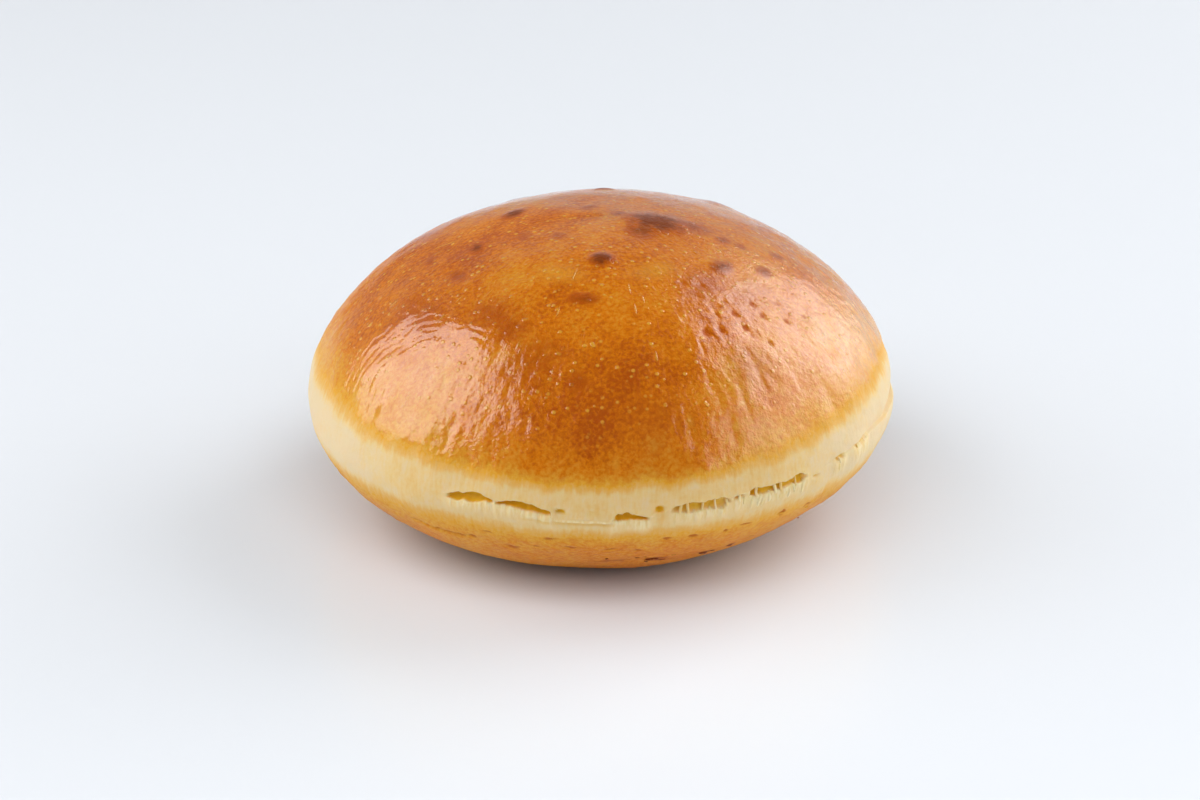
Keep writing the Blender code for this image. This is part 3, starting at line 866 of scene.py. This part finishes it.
class Recipe:
    """The node tree of a material or a world, with short ways to add and link its nodes. What feeds a node
    is another node's socket, a number, a vector or a colour of three numbers."""

    def __init__(self, owner, shader="Principled BSDF"):
        owner.use_nodes = True
        self.owner = owner
        self.tree = owner.node_tree
        self.shader = self.tree.nodes[shader]
        self.colour = None

    def feed(self, socket, source):
        """Links a socket to the input, or sets the input's own value."""
        if isinstance(source, bpy.types.NodeSocket):
            self.tree.links.new(source, socket)
        else:
            socket.default_value = (*source, 1) if socket.type == "RGBA" else source

    def feed_all(self, node, inputs):
        for key, source in inputs.items():
            self.feed(node.inputs[key], source)

    def done(self, inputs):
        """Feeds the shader, and returns the material or the world."""
        self.feed_all(self.shader, inputs)
        return self.owner

    def node(self, kind, inputs, output=0, **settings):
        """Adds a node and returns one of its outputs."""
        made = self.tree.nodes.new(kind)
        for key, setting in settings.items():
            setattr(made, key, setting)
        self.feed_all(made, inputs)
        return made.outputs[output]

    def mark(self, name, output="Fac"):
        return self.node("ShaderNodeAttribute", {}, output, attribute_name=name)

    def noise(self, vector, scale, detail=2.0, roughness=0.5):
        inputs = {"Vector": vector, "Scale": scale, "Detail": detail, "Roughness": roughness}
        return self.node("ShaderNodeTexNoise", inputs, "Fac")

    def math(self, operation, first, second=0.0, third=0.0):
        return self.node("ShaderNodeMath", {0: first, 1: second, 2: third}, operation=operation)

    def plus(self, first, *others):
        for other in others:
            first = self.math("ADD", first, other)
        return first

    def times(self, first, *others):
        for other in others:
            first = self.math("MULTIPLY", first, other)
        return first

    def span(self, value, low, high, out_low=0.0, out_high=1.0, way="SMOOTHSTEP"):
        """The value carried from low..high to out_low..out_high and held at both ends."""
        inputs = {"Value": value, "From Min": low, "From Max": high, "To Min": out_low, "To Max": out_high}
        return self.node("ShaderNodeMapRange", inputs, "Result", interpolation_type=way)

    def spread(self, noise, size, low=0.3):
        """Noise round 0, up to the size either way."""
        return self.span(noise, low, 1 - low, -size, size, "LINEAR")

    def upright(self, vector, height):
        """The vector with its height multiplied: noise in it is stretched upright where that is below 1."""
        return self.node("ShaderNodeVectorMath", {0: vector, 1: (1.0, 1.0, height)}, operation="MULTIPLY")

    def bubbles(self, vector, scale, core, edge, patches):
        """1 in small round spots, one to a cell of the scale, kept only in patches (scale, low, high)."""
        cells = self.node("ShaderNodeTexVoronoi", {"Vector": vector, "Scale": scale}, "Distance")
        patch_scale, low, high = patches
        kept = self.span(self.noise(vector, patch_scale), low, high)
        return self.times(self.span(cells, core, edge, 1.0, 0.0), kept)

    def mix(self, share, first, second):
        made = self.tree.nodes.new("ShaderNodeMix")
        made.data_type = "RGBA"
        colours = [socket for socket in made.inputs if socket.type == "RGBA"]
        for socket, source in ((made.inputs["Factor"], share), (colours[0], first), (colours[1], second)):
            self.feed(socket, source)
        return next(socket for socket in made.outputs if socket.type == "RGBA")

    def paint(self, share, colour):
        """Lays a colour over the recipe's, as thickly as the share says."""
        self.colour = self.mix(share, self.colour, colour)

    def ramp(self, share, stops):
        made = self.tree.nodes.new("ShaderNodeValToRGB")
        self.feed(made.inputs["Fac"], share)
        elements = made.color_ramp.elements
        for index, (place, colour) in enumerate(stops):
            element = elements[index] if index < 2 else elements.new(place)
            element.position = place
            element.color = (*colour, 1)
        return made.outputs["Color"]

    def bump(self, height, distance, under=None, strength=1.0):
        """The normal tilted by a relief, whose distance is in metres, over another normal."""
        inputs = {"Height": height, "Strength": strength, "Distance": distance}
        return self.node("ShaderNodeBump", {**inputs, "Normal": under} if under else inputs)


def crust_recipe(look):
    """Egg-washed crust: colour by how far it is baked, flecks, painted glints and painted shade, pores,
    pebbled relief and soft shine.
    """
    recipe = Recipe(bpy.data.materials.new("crust"))
    noise, span, times, plus = recipe.noise, recipe.span, recipe.times, recipe.plus
    place = recipe.node("ShaderNodeTexCoord", {}, "Object")
    sleeve = recipe.mark("sleeve", "Vector")
    x = recipe.node("ShaderNodeSeparateXYZ", {"Vector": place}, "X")
    z = recipe.node("ShaderNodeSeparateXYZ", {"Vector": place}, "Z")
    bake = recipe.mark("bake")
    broad = recipe.spread(noise(place, 130, 3, 0.55), 0.04)
    fine = recipe.spread(noise(place, 1500, 2, 0.6), 0.13, 0.32)
    mottled = times(plus(broad, fine), span(bake, 0.15, 0.6, 0.15, 1.0))
    threads = noise(recipe.upright(sleeve, 0.22), 1.6, 3, 0.6)
    edge = times(span(bake, 0.0, 0.2, 0.2, 1.0), span(bake, 0.3, 0.55, 1.0, 0.0))
    strokes = times(recipe.spread(threads, 0.07), edge)
    blotches = recipe.spread(noise(place, 320), 0.035)
    recipe.colour = recipe.ramp(plus(bake, mottled, strokes, blotches), look.browning())
    specks = span(noise(place, 1100, 3, 0.65), 0.50, 0.66)
    recipe.paint(times(specks, span(z, 0.0145, 0.0175, 0.25, 0.0)), look.golden)

    # Tiny golden flecks where the wash's bubbles dried, and larger upright peach dashes that are painted
    # glints.
    small = recipe.bubbles(place, 620.0, 0.12, 0.28, (170, 0.35, 0.50))
    # The upright dashes are painted glints, in place of the shine of small bumps.
    large = recipe.bubbles(recipe.upright(sleeve, 0.55), 0.36, 0.07, 0.13, (0.10, 0.42, 0.52))
    flecked = times(span(bake, 0.25, 0.6), span(z, 0.031, 0.037, 0.15, 1.0))
    flecks_and_glints = times(recipe.math("MAXIMUM", small, large), flecked)
    recipe.paint(times(flecks_and_glints, 0.85), look.golden)
    # Pale flecks, and painted highlights on the creases low on the front.
    recipe.paint(times(recipe.mark("pale"), 0.45), look.golden)

    # Dark spots: blisters and scorches, with painted shade in a flat patch and at the front's bottom edge.
    seared_and_shaded = times(recipe.mark("spot"), span(noise(place, 700, 3), 0.3, 0.6, 0.7, 1.15))
    pore = recipe.mark("pore")
    recipe.paint(span(seared_and_shaded, 0.02, 0.35, 0.0, 0.85), look.brown)
    recipe.paint(span(seared_and_shaded, 0.25, 0.75, 0.0, 0.9), look.burnt)
    # Painted shade: brown in the pits of the pores and in the grooves of the cracks.
    recipe.paint(span(pore, 0.1, 0.7, 0.0, 0.95), look.brown)
    recipe.paint(span(recipe.mark("crack"), 0.1, 0.8, 0.0, 0.8), look.brown)

    # Torn crumb, in upright fibres with painted shade in their grooves, and painted shade deep in a tear.
    torn = recipe.mark("torn")
    # A copy of the crumb darkened as painted shade, for the fibres' grooves.
    tint_and_shade = blend(look.crumb, look.hollow, 0.38)
    recipe.paint(torn, recipe.mix(span(threads, 0.35, 0.65), tint_and_shade, look.crumb))
    # Painted shade deep in the tears and pinholes, and painted shadow under the flap's edge.
    recipe.paint(recipe.mark("hollow"), look.hollow)

    # Pebbled skin of the crust, and fibres where it is torn. The wash over it evens out the finest.
    roughened = times(span(noise(place, 150), 0.35, 0.65, 0.75, 1.1), span(bake, 0.1, 0.6, 0.3, 1.0))
    pebbles = times(noise(place, 1500, 2.5, 0.6), roughened)
    streaks = noise(recipe.upright(sleeve, 0.40), 0.8)
    coarse = times(plus(times(streaks, 0.5), times(noise(place, 600), 0.9)), roughened)
    grain = recipe.bump(plus(coarse, pebbles), 0.00022)
    pimples = recipe.bump(flecks_and_glints, 0.00010, grain)
    fibres = recipe.bump(times(threads, recipe.math("MAXIMUM", torn, 0.05)), 0.0003, pimples, 0.9)
    # The wash lies thinner to the right, where a grit too fine to see blurs its shine.
    grit = times(noise(place, 4500, 1), span(x, 0.0, 0.026, 0.0, 0.7))
    glazed = plus(times(plus(coarse, times(pebbles, 0.5)), span(x, -0.012, 0.026, 0.75, 1.25)), grit)
    # Its wrinkles wander and break up. Pulled upright on the front's left, it stands in short ridges.
    wander = plus(times(noise(place, 210), 12.0), recipe.mark("phase"))
    broken = times(span(noise(place, 260, 1), 0.38, 0.58), recipe.mark("drawn"), 0.5)
    knots = noise(recipe.upright(sleeve, 1.10), 0.8, 3, 0.6)
    wrinkles = times(recipe.math("SINE", wander), broken)
    glazed = plus(glazed, wrinkles, times(recipe.mark("pulled"), knots, 3.6))

    gloss = times(recipe.mark("gloss"), span(seared_and_shaded, 0.2, 1.0, 1.0, 0.45), span(pore, 0.1, 0.7, 1.0, 0.15))
    inputs = {
        "Base Color": recipe.colour,
        "Roughness": plus(span(gloss, 0.1, 0.9, 0.58, 0.36), recipe.spread(noise(place, 500), 0.05)),
        "Normal": fibres,
        "Specular Tint": (1.0, 0.62, 0.30),
        "Specular IOR Level": look.specular,
        "Coat Weight": gloss,
        "Coat Roughness": 0.10,
        "Coat IOR": 1.75,
        "Coat Normal": recipe.bump(flecks_and_glints, 0.00006, recipe.bump(glazed, 0.00008)),
        "Subsurface Weight": 0.25,
        "Subsurface Radius": (1.0, 0.5, 0.2),
        "Subsurface Scale": 0.002,
    }
    return recipe.done(inputs)


def crumb_recipe(name, plain, toasted, roughness):
    """Matt crumb, whose colour runs from the plain to the toasted one with its mark, speckled by noise."""
    recipe = Recipe(bpy.data.materials.new(name))
    place = recipe.node("ShaderNodeTexCoord", {}, "Object")
    speckles = recipe.span(recipe.noise(place, 1400, 3), 0.3, 0.7, -0.25, 0.25)
    inputs = {
        "Base Color": recipe.mix(recipe.plus(recipe.mark("toast"), speckles), plain, toasted),
        "Roughness": roughness,
        "Specular IOR Level": 0.25,
        "Subsurface Weight": 0.25,
        "Subsurface Radius": (1.0, 0.5, 0.2),
        "Subsurface Scale": 0.001,
    }
    return recipe.done(inputs)


# ---------------------------------------------------------------- operators


class KOLACHE_OT_bake_bun(bpy.types.Operator):
    """Bake the bun: dome, torn waist, belly and flat base as one closed skin"""

    bl_idname = "kolache.bake_bun"
    bl_label = "Bake the bun"

    def execute(self, context):
        settings = context.scene.kolache_bun
        dough = Dough()
        plan = ring_plan(dough, settings.columns)
        points, marks = skin_points(dough, plan, settings)
        quads, triangles = ring_faces(plan)
        count = 2 * len(quads) + len(triangles)
        if count > MOST_TRIANGLES:
            raise RuntimeError(f"the bun has {count} triangles")
        mesh = mesh_of("crust_skin", points, quads, triangles, marks)
        piece = add_piece("crust_skin", mesh, crust_recipe(context.scene.kolache_crust))
        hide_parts("bun")
        return {"FINISHED"}


class KOLACHE_OT_pull_strands(bpy.types.Operator):
    """Pull strands of crumb across the tears and over their lower lips"""

    bl_idname = "kolache.pull_strands"
    bl_label = "Pull the strands"

    def execute(self, context):
        look = context.scene.kolache_crust
        paths, radii, tint_and_shade = strand_paths(Dough(), context.scene.kolache_bun.strands)
        crumb = crumb_recipe("crumb", look.crumb, blend(look.crumb, look.hollow, 0.5), 0.6)
        add_tubes("crumb_strands", paths, radii, tint_and_shade, STRAND_SIDES, crumb)
        return {"FINISHED"}


class KOLACHE_OT_toast_crumbs(bpy.types.Operator):
    """Toast the crumbs that cling to the belly"""

    bl_idname = "kolache.toast_crumbs"
    bl_label = "Toast the crumbs"

    def execute(self, context):
        look = context.scene.kolache_crust
        paths, radii, toast = crumb_paths(Dough(), context.scene.kolache_bun.loose_crumbs)
        toasted = crumb_recipe("toasted_crumb", look.golden, look.burnt, 0.5)
        add_tubes("toasted_crumbs", paths, radii, toast, CRUMB_SIDES, toasted)
        return {"FINISHED"}


# Softboxes: (name, shape, azimuth, elevation, (width, height), reach, share of the brightness, use), with
# the size and the reach in metres. Only the shown ones show in reflections; the table's lights it alone.
SOFTBOXES = (
    ("softbox_left", "ELLIPSE", -91, 33, (1.16, 1.08), 1.0, 0.96, "shown"),
    ("softbox_right", "RECTANGLE", 119, 30, (0.82, 1.00), 1.0, 1.03, "shown"),
    ("softbox_right_fill", "RECTANGLE", 70, 20, (0.55, 0.75), 1.0, 0.60, "shown"),
    ("softbox_front", "RECTANGLE", 0, 40, (1.40, 0.80), 1.0, 0.36, "unseen"),
    ("softbox_top", "RECTANGLE", 0, 85, (1.60, 1.60), 1.0, 0.05, "unseen"),
    ("softbox_table", "RECTANGLE", -12, 53, (3.90, 1.86), 3.0, 1.02, "table"),
)
TABLE_HALF = 3.0  # metres
LENS, FILM = 85, 36  # mm
VIEW_ELEVATION = 24  # degrees
VIEW_TILT = 0.283  # degrees down from the waist, which so stands a little over the picture's middle


def softbox(target, full, name, shape, azimuth, elevation, size, reach, share):
    """An area light that faces the target from its reach."""
    light = bpy.data.lights.new(name, "AREA")
    light.shape = shape
    light.size, light.size_y = size
    area = size[0] * size[1] * (pi / 4 if shape == "ELLIPSE" else 1)
    light.energy = full * share * pi * area
    lamp = linked(name, light)
    turn, lift = radians(azimuth), radians(elevation)
    towards = Vector((np.sin(turn) * np.cos(lift), -np.cos(turn) * np.cos(lift), np.sin(lift)))
    lamp.location = target + towards * reach
    lamp.rotation_euler = towards.to_track_quat("Z", "Y").to_euler()
    return lamp


def light_only(lamp, lit):
    """Keeps the lamp's light to one object; the others still throw their shadows on it."""
    receivers = bpy.data.collections.new(lamp.name + "_lights")
    receivers.objects.link(lit)
    lamp.light_linking.receiver_collection = receivers


def room_world(room, wall):
    """Dim light from all round, and a pale wall at the back whose brightness falls off upwards."""
    recipe = Recipe(bpy.data.worlds.new("room"), "Background")
    towards = recipe.node("ShaderNodeTexCoord", {}, "Generated")
    y = recipe.node("ShaderNodeSeparateXYZ", {"Vector": towards}, "Y")
    z = recipe.node("ShaderNodeSeparateXYZ", {"Vector": towards}, "Z")
    back = recipe.times(recipe.span(y, 0.35, 0.95, 0.0, wall), recipe.span(z, 0.40, 1.0, 1.0, 0.0))
    return recipe.done({"Color": (0.97, 0.985, 1.0), "Strength": recipe.plus(back, room)})


def add_table(colour):
    """A flat square table top."""
    mesh = bpy.data.meshes.new("table")
    corners = [(x * TABLE_HALF, y * TABLE_HALF, 0) for x, y in ((-1, -1), (1, -1), (1, 1), (-1, 1))]
    mesh.from_pydata(corners, [], [(0, 1, 2, 3)])
    recipe = Recipe(bpy.data.materials.new("table"))
    mesh.materials.append(recipe.done({"Base Color": colour, "Roughness": 0.30}))
    return linked("table", mesh)


class KOLACHE_OT_set_stage(bpy.types.Operator):
    """Set the stage: pale table, softboxes, the room's light and the camera"""

    bl_idname = "kolache.set_stage"
    bl_label = "Set the stage"

    def execute(self, context):
        stage = context.scene.kolache_stage
        waist = Vector((0, 0, Dough().level * MM))
        table = add_table(stage.table)
        for *row, use in SOFTBOXES:
            lamp = softbox(waist, stage.softbox, *row)
            lamp.visible_glossy = use == "shown"
            if use == "table":
                light_only(lamp, table)
        context.scene.world = room_world(stage.room, stage.wall)
        camera_data = bpy.data.cameras.new("camera")
        camera_data.lens = LENS
        camera_data.sensor_width = FILM
        camera = linked("camera", camera_data)
        elevation = radians(VIEW_ELEVATION)
        back = Vector((0, -np.cos(elevation), np.sin(elevation)))
        camera.location = waist + back * stage.distance
        camera.rotation_euler = (pi / 2 - elevation - radians(VIEW_TILT), 0, 0)
        context.scene.camera = camera
        context.scene.view_settings.view_transform = "Standard"
        return {"FINISHED"}


class KOLACHE_PT_sidebar(bpy.types.Panel):
    """The kolache's steps and settings"""

    bl_label = "Kolache"
    bl_space_type = "VIEW_3D"
    bl_region_type = "UI"
    bl_category = "Kolache"

    def draw(self, context):
        for operator in OPERATORS:
            self.layout.operator(operator.bl_idname)
        for name in SETTINGS:
            group = getattr(context.scene, name)
            for key in group.bl_rna.properties.keys():
                if key not in {"rna_type", "name"}:
                    self.layout.prop(group, key)


OPERATORS = (KOLACHE_OT_bake_bun, KOLACHE_OT_pull_strands, KOLACHE_OT_toast_crumbs, KOLACHE_OT_set_stage)
SETTINGS = {"kolache_bun": BunSettings, "kolache_crust": CrustSettings, "kolache_stage": StageSettings}
CLASSES = (*SETTINGS.values(), *OPERATORS, KOLACHE_PT_sidebar)


def register():
    for item in CLASSES:
        bpy.utils.register_class(item)
    for name, group in SETTINGS.items():
        setattr(bpy.types.Scene, name, PointerProperty(type=group))


def unregister():
    for name in SETTINGS:
        delattr(bpy.types.Scene, name)
    for item in reversed(CLASSES):
        bpy.utils.unregister_class(item)


def main():
    register()
    bpy.ops.kolache.bake_bun()
    bpy.ops.kolache.pull_strands()
    bpy.ops.kolache.toast_crumbs()
    bpy.ops.kolache.set_stage()


if __name__ == "__main__":
    main()
